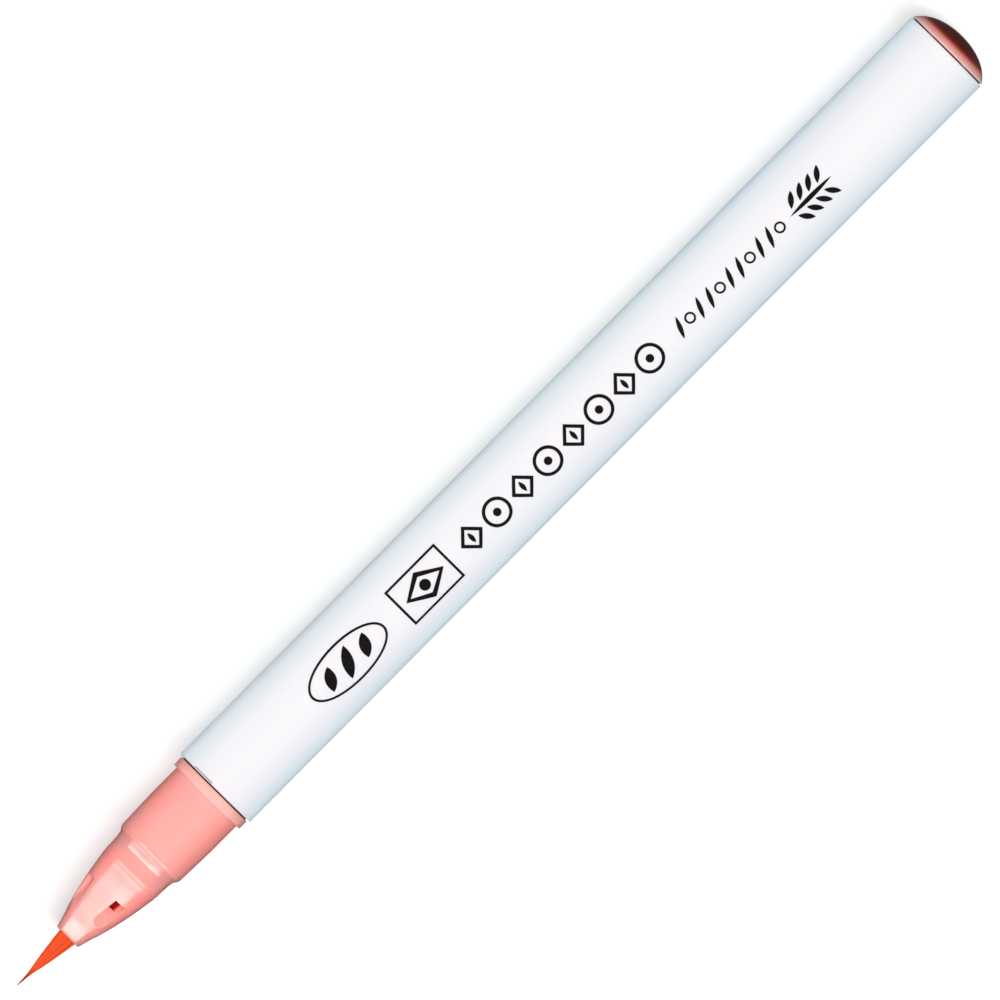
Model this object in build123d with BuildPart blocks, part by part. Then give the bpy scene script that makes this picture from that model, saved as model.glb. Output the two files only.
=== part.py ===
from build123d import *
import os
from math import cos, radians, sin

os.makedirs("parts", exist_ok=True)

# A brush pen for water-based ink, lying on its side with its cap off: a white barrel with a coloured tail
# plug, a clear coloured nose with four windowed slots, and a bristle tuft fed by a fibre reservoir.
# The pen's axis runs along X, the bristle point is at -X and the tail at +X. The origin is on the
# surface that the pen lies on, under the middle of its length. All sizes are millimetres.

# ---- driving sizes: barrel and tail ----
barrel_d = 10.0
barrel_length = 106.6
barrel_wall = 0.75
barrel_edge_chamfer = 0.12
notch_width = 2.4  # mould notch in the barrel's front rim
notch_depth = 0.11  # less than the chamfer, so the barrel still rests on whole outer rings
notch_angle = 67.0  # from +Y towards +Z
rib_count = 6  # the ribs that keep the reservoir central and let air past it
rib_thickness = 0.5
rib_end_margin = 1.5
tail_joint = 0.15  # shadow line between the barrel and the tail plug
tail_joint_depth = 0.40
dome_height = 2.1
dome_rim_drop = 0.06
dome_rim_angle = 33.0
dome_rim_pull = 1.6
dome_crown_pull = 2.3
dome_wall = 1.2
plug_depth = 8.0
plug_wall = 0.9
plug_web = 0.8

# ---- driving sizes: nose, from the mouth to the barrel ----
mouth_wall = 0.35
land_length = 1.9
land_rise = 0.48
land_step = 0.05
cone_length = 7.1
cone_bulge = 0.15
neck_length = 1.73
neck_rise = 0.15
flare_length = 0.62
flare_rise = 0.16
step_length = 0.70
step_rise = 0.27
taper_length = 4.35
taper_rise = 0.14
cap_seat_length = 3.87
collar_length = 1.03
collar_height = 0.41
collar_drop = 0.30
collar_joint = 0.10  # shadow line between the nose and the barrel
collar_joint_depth = 0.20
spigot_length = 12.0
spigot_chamfer = 0.25
nose_wall = 1.0
mouth_round = 0.12
grip_round = 0.15
collar_round = 0.08

# ---- driving sizes: the four side slots in the cone, each with a window to the tuft ----
slot_count = 4
slot_angle = 123.0  # from +Y towards +Z
slot_width = 1.8
slot_depth = 0.82
slot_rear_from_cone = 2.8
window_width = 0.85
window_length = 0.97

# ---- driving sizes: bristles ----
tuft_d = 2.06
tuft_out = 7.15
tuft_tip_r = 0.03
belly_pivot_out = 1.5  # distance of each bending point ahead of the mouth
point_pivot_out = 3.7
belly_pivot_share = 0.855  # thickness of the tuft there, as a share of its thickness at the mouth
point_pivot_share = 0.58
hair_share = 0.42  # thickness halfway from the last bending point to the tip, as a share of that there
belly_bend = 24.0  # how far each segment bends either way
point_bend = 30.0

# ---- driving sizes: ink feed ----
root_bundle_play = 0.05
root_flange_d = 4.0
root_flange_length = 1.0
root_seat_out = 8.2  # from the mouth back to the shoulder that the root's flange rests on
retainer_length = 1.3
sleeve_flange_length = 1.0
sleeve_reach = 9.0
sleeve_wall = 0.6
sleeve_vent_count = 4
sleeve_vent_width = 1.0
sleeve_vent_depth = 0.5
wick_d = 1.5
wick_socket_depth = 2.5
wick_in_reservoir = 5.0
wick_chamfer = 0.2
film_thickness = 0.10
reservoir_side_gap = 0.40

# ---- fits ----
fit_gap = 0.03  # radial, between pieces that are pushed together
ball_gap = 0.06  # around each bending point
bore_play = 0.12  # radial, around the tuft in the mouth
snap_height = 0.08
snap_width = 1.0
snap_groove_extra = 0.04
snap_from_barrel_end = 5.0
rib_gap = 0.05
weld = 0.2  # how far a rib or web runs into the wall that carries it

# ---- radii that follow ----
barrel_r = barrel_d / 2
axis_z = barrel_r
bore_r = barrel_r - barrel_wall
spigot_r = bore_r - fit_gap
nose_bore_r = spigot_r - nose_wall
collar_r = barrel_r - collar_drop
cap_seat_r = collar_r - collar_height
grip_front_r = cap_seat_r - taper_rise
flare_rear_r = grip_front_r - step_rise
neck_rear_r = flare_rear_r - flare_rise
cone_rear_r = neck_rear_r - neck_rise
tuft_r = tuft_d / 2
mouth_bore_r = tuft_r + bore_play
mouth_r = mouth_bore_r + mouth_wall
land_rear_r = mouth_r + land_rise
cone_front_r = land_rear_r + land_step
root_flange_r = root_flange_d / 2
root_pocket_r = root_flange_r + fit_gap
wick_r = wick_d / 2
wick_bore_r = wick_r + fit_gap
reservoir_r = bore_r - reservoir_side_gap
wad_r = reservoir_r - film_thickness
plug_bore_r = spigot_r - plug_wall
rim_r = barrel_r - dome_rim_drop

# ---- stations along X that follow ----
nose_out = (
    land_length + cone_length + neck_length + flare_length + step_length
    + taper_length + cap_seat_length + collar_length + collar_joint
)
total_length = tuft_out + nose_out + barrel_length + tail_joint + dome_height
tip_x = -total_length / 2
mouth_x = tip_x + tuft_out
land_rear_x = mouth_x + land_length
cone_rear_x = land_rear_x + cone_length
neck_rear_x = cone_rear_x + neck_length
flare_rear_x = neck_rear_x + flare_length
grip_front_x = flare_rear_x + step_length
cap_seat_front_x = grip_front_x + taper_length
collar_front_x = cap_seat_front_x + cap_seat_length
collar_rear_x = collar_front_x + collar_length
barrel_front_x = collar_rear_x + collar_joint
barrel_rear_x = barrel_front_x + barrel_length
dome_base_x = barrel_rear_x + tail_joint
apex_x = dome_base_x + dome_height
spigot_rear_x = barrel_front_x + spigot_length
plug_front_x = barrel_rear_x - plug_depth
slot_rear_x = cone_rear_x - slot_rear_from_cone
root_seat_x = mouth_x + root_seat_out
retainer_front_x = root_seat_x + root_flange_length
sleeve_seat_x = retainer_front_x + retainer_length
sleeve_rear_x = sleeve_seat_x + sleeve_flange_length + sleeve_reach
wick_front_x = retainer_front_x - wick_socket_depth
wick_rear_x = spigot_rear_x + wick_in_reservoir
belly_pivot_x = mouth_x - belly_pivot_out
point_pivot_x = mouth_x - point_pivot_out

# ---- planes and axis ----
pen_axis = Axis((0, 0, axis_z), (1, 0, 0))
PEN = Plane(origin=(0, 0, axis_z), x_dir=(1, 0, 0), z_dir=(0, -1, 0))


def across(x):
    """The plane square to the pen at x: its own x is Y, its own y is Z, and it is centred on the pen."""
    return Plane(origin=(x, 0, axis_z), x_dir=(0, 1, 0), z_dir=(1, 0, 0))


def half_section(*corners):
    """The closed outline through corners (x, radius), to be turned about the pen's axis."""
    with BuildSketch(PEN) as section:
        with BuildLine():
            Polyline(*corners, close=True)
        make_face()
    return section.sketch


def ball(x, radius):
    """A ball centred on the pen's axis at x, used where a bristle segment bends against the next."""
    with BuildPart(mode=Mode.PRIVATE) as round_end:
        with BuildSketch(PEN) as half_disc:
            with BuildLine():
                CenterArc((x, 0), radius, 0, 180)
                Line((x - radius, 0), (x + radius, 0))
            make_face()
        revolve(axis=pen_axis)
    return round_end.part


def snap_section(x, base_r, height):
    """A low trapezoid ring about the pen's axis: a snap bead, or the groove that takes it."""
    flank = snap_width / 2
    crest = flank / 2
    return half_section(
        (x - flank, base_r - weld),
        (x - flank, base_r),
        (x - crest, base_r + height),
        (x + crest, base_r + height),
        (x + flank, base_r),
        (x + flank, base_r - weld),
    )


def ring_edge(pen_part, x, radius):
    """The circular edge of pen_part nearest to station x and radius."""
    rings = pen_part.edges().filter_by(GeomType.CIRCLE)
    return rings.sort_by(lambda ring: abs(ring.arc_center.X - x) + abs(ring.radius - radius))[0]


def cone_r_at(x):
    """The cone's radius at x: the straight taper plus the bulge of its arc, taken as a parabola."""
    run = (x - land_rear_x) / cone_length
    return cone_front_r + (cone_rear_r - cone_front_r) * run + 4 * cone_bulge * run * (1 - run)


slot_floor_r = cone_r_at(slot_rear_x) - slot_depth
front_snap_x = barrel_front_x + snap_from_barrel_end
rear_snap_x = barrel_rear_x - snap_from_barrel_end
groove_depth = snap_height + snap_groove_extra

# ---- barrel: plain white tube with six inner ribs ----
with BuildPart() as barrel:
    revolve(
        half_section(
            (barrel_front_x, bore_r),
            (barrel_front_x, barrel_r),
            (barrel_rear_x, barrel_r),
            (barrel_rear_x, bore_r),
        ),
        axis=pen_axis,
    )
    chamfer(barrel.faces().sort_by(Axis.X)[0].outer_wire().edges(), barrel_edge_chamfer)
    chamfer(barrel.faces().sort_by(Axis.X)[-1].outer_wire().edges(), barrel_edge_chamfer)
    rib_tip_r = reservoir_r + rib_gap
    rib_front_x = spigot_rear_x + rib_end_margin
    rib_rear_x = plug_front_x - rib_end_margin
    rib_height = bore_r + weld - rib_tip_r
    with BuildSketch(across(rib_front_x)):
        with PolarLocations(rib_tip_r + rib_height / 2, rib_count):
            Rectangle(rib_height, rib_thickness)
    extrude(amount=rib_rear_x - rib_front_x)
    revolve(snap_section(front_snap_x, bore_r, groove_depth), axis=pen_axis, mode=Mode.SUBTRACT)
    revolve(snap_section(rear_snap_x, bore_r, groove_depth), axis=pen_axis, mode=Mode.SUBTRACT)
    with BuildSketch(across(barrel_front_x)):
        with PolarLocations(barrel_r, 1, start_angle=notch_angle):
            Rectangle(4 * barrel_wall, notch_width)
    extrude(amount=notch_depth, mode=Mode.SUBTRACT)
barrel.part.label = "barrel"
export_step(barrel.part, "parts/barrel.step")

# ---- tail plug: coloured dome on a skirt that snaps into the barrel and holds the reservoir ----
with BuildPart() as tail_plug:
    with BuildSketch(PEN):
        with BuildLine():
            rim_handle = (
                dome_base_x + dome_rim_pull * cos(radians(dome_rim_angle)),
                rim_r - dome_rim_pull * sin(radians(dome_rim_angle)),
            )
            Bezier((dome_base_x, rim_r), rim_handle, (apex_x, dome_crown_pull), (apex_x, 0))
            Polyline(
                (apex_x, 0),
                (plug_front_x, 0),
                (plug_front_x, spigot_r - spigot_chamfer),
                (plug_front_x + spigot_chamfer, spigot_r),
                (barrel_rear_x, spigot_r),
                (barrel_rear_x, barrel_r - tail_joint_depth),
                (dome_base_x, barrel_r - tail_joint_depth),
                (dome_base_x, rim_r),
            )
        make_face()
    revolve(axis=pen_axis)
    revolve(snap_section(rear_snap_x, spigot_r, snap_height), axis=pen_axis)
    revolve(
        half_section(
            (plug_front_x, 0),
            (plug_front_x, plug_bore_r),
            (barrel_rear_x, plug_bore_r),
            (apex_x - dome_wall, plug_bore_r / 2),
            (apex_x - dome_wall, 0),
        ),
        axis=pen_axis,
        mode=Mode.SUBTRACT,
    )
    with BuildSketch(across(plug_front_x)):
        with PolarLocations(0, 2, angular_range=180):
            Rectangle(2 * (plug_bore_r + weld), plug_web)
    extrude(amount=plug_depth)
tail_plug.part.label = "tail_plug"
export_step(tail_plug.part, "parts/tail_plug.step")

# ---- nose: clear coloured holder with grip, collar, slotted cone and a spigot into the barrel ----
with BuildPart() as nose:
    with BuildSketch(PEN):
        with BuildLine():
            Polyline(
                (mouth_x, mouth_bore_r),
                (mouth_x, mouth_r),
                (land_rear_x, land_rear_r),
                (land_rear_x, cone_front_r),
            )
            cone_mid_x = (land_rear_x + cone_rear_x) / 2
            ThreePointArc(
                (land_rear_x, cone_front_r),
                (cone_mid_x, cone_r_at(cone_mid_x)),
                (cone_rear_x, cone_rear_r),
            )
            Polyline(
                (cone_rear_x, cone_rear_r),
                (neck_rear_x, neck_rear_r),
                (flare_rear_x, flare_rear_r),
                (grip_front_x, grip_front_r),
                (cap_seat_front_x, cap_seat_r),
                (collar_front_x, cap_seat_r),
                (collar_front_x, collar_r),
                (collar_rear_x, collar_r),
                (collar_rear_x, collar_r - collar_joint_depth),
                (barrel_front_x, collar_r - collar_joint_depth),
                (barrel_front_x, spigot_r),
                (spigot_rear_x - spigot_chamfer, spigot_r),
                (spigot_rear_x, spigot_r - spigot_chamfer),
                (spigot_rear_x, nose_bore_r),
                (sleeve_seat_x, nose_bore_r),
                (sleeve_seat_x, root_pocket_r),
                (root_seat_x, root_pocket_r),
                (root_seat_x, mouth_bore_r),
                (mouth_x, mouth_bore_r),
            )
        make_face()
    revolve(axis=pen_axis)
    fillet(ring_edge(nose, mouth_x, mouth_r), mouth_round)
    fillet(ring_edge(nose, grip_front_x, grip_front_r), grip_round)
    fillet(ring_edge(nose, collar_front_x, collar_r), collar_round)
    fillet(ring_edge(nose, collar_rear_x, collar_r), collar_round)
    revolve(snap_section(front_snap_x, spigot_r, snap_height), axis=pen_axis)
    with BuildSketch(across(slot_rear_x)):
        with PolarLocations(slot_floor_r + cone_rear_r / 2, slot_count, start_angle=slot_angle):
            Rectangle(cone_rear_r, slot_width)
    extrude(amount=-(slot_rear_x - land_rear_x), mode=Mode.SUBTRACT)
    with BuildSketch(across(slot_rear_x)):
        with PolarLocations(slot_floor_r, slot_count, start_angle=slot_angle):
            Rectangle(2 * (slot_floor_r - tuft_r), window_width)
    extrude(amount=-window_length, mode=Mode.SUBTRACT)
nose.part.label = "nose"
export_step(nose.part, "parts/nose.step")

# ---- reservoir: fibre wad in a thin film wrap, clamped between the nose's spigot and the tail plug ----
with BuildPart() as reservoir_wad:
    revolve(
        half_section(
            (spigot_rear_x, wick_bore_r),
            (spigot_rear_x, wad_r),
            (plug_front_x, wad_r),
            (plug_front_x, 0),
            (wick_rear_x, 0),
            (wick_rear_x, wick_bore_r),
        ),
        axis=pen_axis,
    )
reservoir_wad.part.label = "reservoir_wad"
export_step(reservoir_wad.part, "parts/reservoir_wad.step")

with BuildPart() as reservoir_film:
    with BuildSketch(across(spigot_rear_x)):
        Circle(reservoir_r)
        Circle(wad_r, mode=Mode.SUBTRACT)
    extrude(amount=plug_front_x - spigot_rear_x)
reservoir_film.part.label = "reservoir_film"
export_step(reservoir_film.part, "parts/reservoir_film.step")

# ---- wick and the sleeve that carries it: the ink's way from the reservoir to the tuft ----
with BuildPart() as wick:
    with BuildSketch(across(wick_front_x)):
        Circle(wick_r)
    extrude(amount=wick_rear_x - wick_front_x)
    chamfer(wick.edges().filter_by(GeomType.CIRCLE), wick_chamfer)
wick.part.label = "wick"
export_step(wick.part, "parts/wick.step")

with BuildPart() as wick_sleeve:
    sleeve_tube_r = wick_bore_r + sleeve_wall
    sleeve_flange_r = nose_bore_r - fit_gap
    revolve(
        half_section(
            (sleeve_seat_x, wick_bore_r),
            (sleeve_seat_x, sleeve_flange_r),
            (sleeve_seat_x + sleeve_flange_length, sleeve_flange_r),
            (sleeve_seat_x + sleeve_flange_length, sleeve_tube_r),
            (sleeve_rear_x, sleeve_tube_r),
            (sleeve_rear_x, wick_bore_r),
        ),
        axis=pen_axis,
    )
    with BuildSketch(across(sleeve_seat_x)):
        with PolarLocations(sleeve_flange_r, sleeve_vent_count):
            Rectangle(2 * sleeve_vent_depth, sleeve_vent_width)
    extrude(amount=sleeve_flange_length, mode=Mode.SUBTRACT)
wick_sleeve.part.label = "wick_sleeve"
export_step(wick_sleeve.part, "parts/wick_sleeve.step")

# ---- tuft root: the fused rear of the bristles, with a flange, and the ring that holds it in ----
root_front_x = mouth_x + tuft_r + ball_gap
root_bundle_r = mouth_bore_r - root_bundle_play
with BuildPart() as tuft_root:
    revolve(
        half_section(
            (root_front_x, 0),
            (root_front_x, root_bundle_r),
            (root_seat_x, root_bundle_r),
            (root_seat_x, root_flange_r),
            (retainer_front_x, root_flange_r),
            (retainer_front_x, wick_bore_r),
            (wick_front_x, wick_bore_r),
            (wick_front_x, 0),
        ),
        axis=pen_axis,
    )
tuft_root.part.label = "tuft_root"
export_step(tuft_root.part, "parts/tuft_root.step")

with BuildPart() as root_retainer:
    with BuildSketch(across(retainer_front_x)):
        Circle(root_flange_r)
        Circle(wick_bore_r, mode=Mode.SUBTRACT)
    extrude(amount=retainer_length)
root_retainer.part.label = "root_retainer"
export_step(root_retainer.part, "parts/root_retainer.step")

# ---- the bristles outside the mouth, as three segments that bend against each other ----
belly_pivot_r = tuft_r * belly_pivot_share
point_pivot_r = tuft_r * point_pivot_share


def tuft_r_between(x, x_rear, r_rear, x_front, r_front):
    """The tuft's radius at x on the straight taper between two stations."""
    return r_rear + (r_front - r_rear) * (x_rear - x) / (x_rear - x_front)


heel_face_x = belly_pivot_x + belly_pivot_r * sin(radians(belly_bend)) + ball_gap
belly_face_x = point_pivot_x + point_pivot_r * sin(radians(point_bend)) + ball_gap
heel_face_r = tuft_r_between(heel_face_x, mouth_x, tuft_r, belly_pivot_x, belly_pivot_r)
belly_face_r = tuft_r_between(belly_face_x, belly_pivot_x, belly_pivot_r, point_pivot_x, point_pivot_r)

with BuildPart() as tuft_heel:
    revolve(
        half_section((mouth_x, 0), (mouth_x, tuft_r), (heel_face_x, heel_face_r), (heel_face_x, 0)),
        axis=pen_axis,
    )
    add(ball(mouth_x, tuft_r))
    add(ball(belly_pivot_x, belly_pivot_r + ball_gap), mode=Mode.SUBTRACT)
tuft_heel.part.label = "tuft_heel"
export_step(tuft_heel.part, "parts/tuft_heel.step")

with BuildPart() as tuft_belly:
    revolve(
        half_section(
            (belly_pivot_x, 0),
            (belly_pivot_x, belly_pivot_r),
            (belly_face_x, belly_face_r),
            (belly_face_x, 0),
        ),
        axis=pen_axis,
    )
    add(ball(belly_pivot_x, belly_pivot_r))
    add(ball(point_pivot_x, point_pivot_r + ball_gap), mode=Mode.SUBTRACT)
tuft_belly.part.label = "tuft_belly"
export_step(tuft_belly.part, "parts/tuft_belly.step")

with BuildPart() as tuft_point:
    with BuildSketch(PEN):
        with BuildLine():
            hair_x = (point_pivot_x + tip_x) / 2
            Spline(
                (point_pivot_x, point_pivot_r),
                (hair_x, point_pivot_r * hair_share),
                (tip_x, tuft_tip_r),
            )
            Polyline((tip_x, tuft_tip_r), (tip_x, 0), (point_pivot_x, 0), (point_pivot_x, point_pivot_r))
        make_face()
    revolve(axis=pen_axis)
    add(ball(point_pivot_x, point_pivot_r))
tuft_point.part.label = "tuft_point"
export_step(tuft_point.part, "parts/tuft_point.step")

print(f"total length {total_length:.2f}, mouth {mouth_x:.2f}, barrel front {barrel_front_x:.2f} mm")
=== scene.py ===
"""Looks of a brush pen that lies on its side without its cap.

The pen's axis runs along X: bristle point at -X, tail at +X, +Z up. Shapes are written in millimetres and
scaled once, when a piece is finished.
"""

import math
import random

import bmesh
import bpy
from mathutils import Matrix, Vector


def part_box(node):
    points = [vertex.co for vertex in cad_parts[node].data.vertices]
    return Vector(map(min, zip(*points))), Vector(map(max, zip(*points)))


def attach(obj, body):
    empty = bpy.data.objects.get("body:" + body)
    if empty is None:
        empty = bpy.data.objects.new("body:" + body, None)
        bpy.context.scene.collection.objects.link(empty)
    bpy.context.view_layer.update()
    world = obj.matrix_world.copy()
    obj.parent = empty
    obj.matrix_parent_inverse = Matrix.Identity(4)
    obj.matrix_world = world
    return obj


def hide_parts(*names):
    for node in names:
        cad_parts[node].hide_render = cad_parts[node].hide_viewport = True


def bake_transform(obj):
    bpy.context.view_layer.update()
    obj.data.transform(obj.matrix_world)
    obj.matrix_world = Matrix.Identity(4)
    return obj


MM = 0.001
TURN_STEPS = 120
WELD_DISTANCE = 0.0005
SEED = 11

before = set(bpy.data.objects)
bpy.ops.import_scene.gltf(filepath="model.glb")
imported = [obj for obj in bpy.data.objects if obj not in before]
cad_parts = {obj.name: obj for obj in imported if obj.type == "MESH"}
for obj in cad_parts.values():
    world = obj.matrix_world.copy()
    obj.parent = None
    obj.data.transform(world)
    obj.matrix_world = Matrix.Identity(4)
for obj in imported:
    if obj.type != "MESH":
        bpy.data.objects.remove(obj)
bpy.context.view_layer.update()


def box_mm(node):
    """Lowest and highest corner of a CAD node, in millimetres."""
    return [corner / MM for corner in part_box(node)]


# ---- stations along the pen, from the CAD nodes ----
barrel_low, barrel_high = box_mm("barrel")
AXIS_Z = (barrel_low.z + barrel_high.z) / 2
BARREL_R = (barrel_high.z - barrel_low.z) / 2
BARREL_FRONT = barrel_low.x
BARREL_REAR = barrel_high.x
MOUTH = box_mm("nose")[0].x
SPIGOT_REAR = box_mm("nose")[1].x
PLUG_FRONT = box_mm("tail_plug")[0].x
APEX = box_mm("tail_plug")[1].x

# ---- lengths of the nose's sections, front to rear, and the radii between them ----
LAND_LENGTH = 1.90
CONE_LENGTH = 7.10
GRIP_LENGTH = 4.20
LAND_REAR = MOUTH + LAND_LENGTH
CONE_REAR = LAND_REAR + CONE_LENGTH
NECK_REAR = CONE_REAR + 1.93
FLARE_REAR = NECK_REAR + 0.64
STEP_REAR = FLARE_REAR + 0.38
GRIP_FRONT = STEP_REAR + 0.25
SEAT_FRONT = GRIP_FRONT + GRIP_LENGTH
COLLAR_FRONT = SEAT_FRONT + 3.87
COLLAR_REAR = COLLAR_FRONT + 1.03
TUFT_BORE_R = 1.15
MOUTH_R = 1.50
LAND_R = 2.03
CONE_FRONT_R = 2.08
CONE_REAR_R = 3.57
CONE_BULGE = 0.165
NECK_R = 3.685
FLARE_R = 3.79
STEP_R = 4.07
GRIP_R = 4.15
SEAT_R = 4.29
COLLAR_R = 4.70
BORE_R = 4.25
JOINT_FLOOR_R = 4.45
SPIGOT_R = 4.22
HOLLOW_R = 3.22
ROOT_POCKET_R = 2.03
ROOT_SEAT = MOUTH + 8.2
SLEEVE_SEAT = ROOT_SEAT + 2.3
SLOT_REAR = CONE_REAR - 2.8
SLOT_FLOOR_R = 2.35
SLOT_WIDTH = 1.46
SLOT_ANGLES = (120.0, 210.0, 300.0, 30.0)
WINDOW_LENGTH = 0.97
WINDOW_WIDTH = 1.06
SNAP_FRONT = BARREL_FRONT + 5.0
SNAP_REAR = BARREL_REAR - 5.0


# ======== making pieces ========
def finish_piece(name, bm, material, sharp_degrees=32.0, scale=MM):
    """Turns a bmesh in millimetres into a named object in metres at the origin, with its material."""
    bmesh.ops.scale(bm, vec=(scale,) * 3, verts=bm.verts)
    mesh = bpy.data.meshes.new(name)
    bm.to_mesh(mesh)
    bm.free()
    mesh.polygons.foreach_set("use_smooth", [True] * len(mesh.polygons))
    mesh.set_sharp_from_angle(angle=math.radians(sharp_degrees))
    mesh.materials.append(material)
    piece = bpy.data.objects.new(name, mesh)
    bpy.context.scene.collection.objects.link(piece)
    return piece


def turn(bm, outline, closed=True, steps=TURN_STEPS):
    """Spins an outline of (x, radius) about the pen's axis and adds it to bm, normals outward."""
    before = set(bm.faces)
    verts = [bm.verts.new((x, 0, AXIS_Z + r)) for x, r in outline]
    pairs = list(zip(verts, verts[1:]))
    if closed:
        pairs.append((verts[-1], verts[0]))
    edges = [bm.edges.new(pair) for pair in pairs]
    bmesh.ops.spin(
        bm,
        geom=verts + edges,
        cent=(0, 0, AXIS_Z),
        axis=(1, 0, 0),
        angle=math.tau,
        steps=steps,
        use_merge=True,
    )
    bmesh.ops.remove_doubles(bm, verts=bm.verts, dist=WELD_DISTANCE)
    made = [f for f in bm.faces if f not in before]
    bmesh.ops.recalc_face_normals(bm, faces=made)
    return made


def radius_of(vert):
    """Distance of a vertex from the pen's axis."""
    return math.hypot(vert.co.y, vert.co.z - AXIS_Z)


def rings(bm, *places, reach=0.004):
    """The edges that run round the pen at each (x, radius)."""
    def at(vert):
        return any(
            abs(vert.co.x - x) < reach and abs(radius_of(vert) - r) < reach for x, r in places
        )

    return [e for e in bm.edges if all(at(v) for v in e.verts)
            and abs(e.verts[0].co.x - e.verts[1].co.x) < 1e-4]


def soften(bm, edges, width, segments=3):
    """Rounds edges by width."""
    bmesh.ops.bevel(
        bm,
        geom=edges,
        offset=width,
        offset_type="OFFSET",
        affect="EDGES",
        segments=segments,
        profile=0.5,
        material=-1,
        clamp_overlap=True,
    )


def snap_outline(x, r, height):
    """Corners of a low snap bead, or of the groove for it, front to rear."""
    return [(x - 0.5, r), (x - 0.25, r + height), (x + 0.25, r + height), (x + 0.5, r)]


def cone_r_at(x):
    """Radius of the bulged cone at a station."""
    run = (x - LAND_REAR) / (CONE_REAR - LAND_REAR)
    return CONE_FRONT_R + (CONE_REAR_R - CONE_FRONT_R) * run + 4 * CONE_BULGE * run * (1 - run)


def steps_between(start, end, count):
    """Even steps from start to end, both ends included."""
    return [start + (end - start) * k / count for k in range(count + 1)]


# ======== materials ========
def new_material(name):
    """A node material and its Principled shader."""
    material = bpy.data.materials.new(name)
    material.use_nodes = True
    return material, material.node_tree.nodes["Principled BSDF"]


def add(material, kind, **values):
    """Adds a node and sets its properties, or its inputs where the key is an input's name."""
    node = material.node_tree.nodes.new(kind)
    for key, value in values.items():
        if hasattr(node, key):
            setattr(node, key, value)
        else:
            node.inputs[key.replace("_", " ")].default_value = value
    return node


def link(material, source, target):
    """Joins an output socket to an input socket."""
    material.node_tree.links.new(source, target)


def object_point(material, scale=(1, 1, 1)):
    """Object coordinates, stretched by a Mapping node."""
    place = add(material, "ShaderNodeTexCoord")
    mapping = add(material, "ShaderNodeMapping")
    mapping.inputs["Scale"].default_value = scale
    link(material, place.outputs["Object"], mapping.inputs["Vector"])
    return mapping.outputs["Vector"]


def noise(material, vector, scale, detail=3.0, roughness=0.55):
    """A noise value from 0 to 1 at a point."""
    texture = add(material, "ShaderNodeTexNoise")
    texture.inputs["Scale"].default_value = scale
    texture.inputs["Detail"].default_value = detail
    texture.inputs["Roughness"].default_value = roughness
    link(material, vector, texture.inputs["Vector"])
    return texture.outputs["Fac"]


def ramp(material, value, *stops):
    """A colour ramp through (position, colour) stops."""
    node = add(material, "ShaderNodeValToRGB")
    elements = node.color_ramp.elements
    while len(elements) < len(stops):
        elements.new(0.5)
    for element, (position, colour) in zip(elements, stops):
        element.position = position
        element.color = (*colour, 1.0)
    link(material, value, node.inputs["Fac"])
    return node.outputs["Color"]


def between(material, value, low, high, out_low=0.0, out_high=1.0):
    """Maps a value that runs from low to high onto another span, and holds it at the ends."""
    node = add(material, "ShaderNodeMapRange")
    node.inputs["From Min"].default_value = low
    node.inputs["From Max"].default_value = high
    node.inputs["To Min"].default_value = out_low
    node.inputs["To Max"].default_value = out_high
    link(material, value, node.inputs["Value"])
    return node.outputs["Result"]


def bump(material, shader, height, strength, distance):
    """Relief on the surface from a height value."""
    node = add(material, "ShaderNodeBump")
    node.inputs["Strength"].default_value = strength
    node.inputs["Distance"].default_value = distance
    link(material, height, node.inputs["Height"])
    link(material, node.outputs["Normal"], shader.inputs["Normal"])


def along_pen(material):
    """The X coordinate of the surface point, in metres."""
    split = add(material, "ShaderNodeSeparateXYZ")
    link(material, object_point(material), split.inputs["Vector"])
    return split.outputs["X"]


def tinted(material, colour, amount, tint):
    """A colour turned towards a tint by an amount from 0 to 1."""
    mix = add(material, "ShaderNodeMix", data_type="RGBA", blend_type="MIX")
    link(material, amount, mix.inputs["Factor"])
    link(material, colour, mix.inputs["A"])
    mix.inputs["B"].default_value = (*tint, 1.0)
    return mix.outputs["Result"]


def worked_out(material, operation, *values):
    """A Math node fed with sockets or plain numbers."""
    node = add(material, "ShaderNodeMath", operation=operation)
    for socket, value in zip(node.inputs, values):
        if isinstance(value, (int, float)):
            socket.default_value = value
        else:
            link(material, value, socket)
    return node.outputs[0]


def axis_distance(material):
    """Distance of the surface point from the pen's axis, in metres."""
    split = add(material, "ShaderNodeSeparateXYZ")
    link(material, object_point(material), split.inputs["Vector"])
    y = split.outputs["Y"]
    z = worked_out(material, "SUBTRACT", split.outputs["Z"], AXIS_Z * MM)
    y_square, z_square = (worked_out(material, "MULTIPLY", value, value) for value in (y, z))
    return worked_out(material, "SQRT", worked_out(material, "ADD", y_square, z_square))


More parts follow.
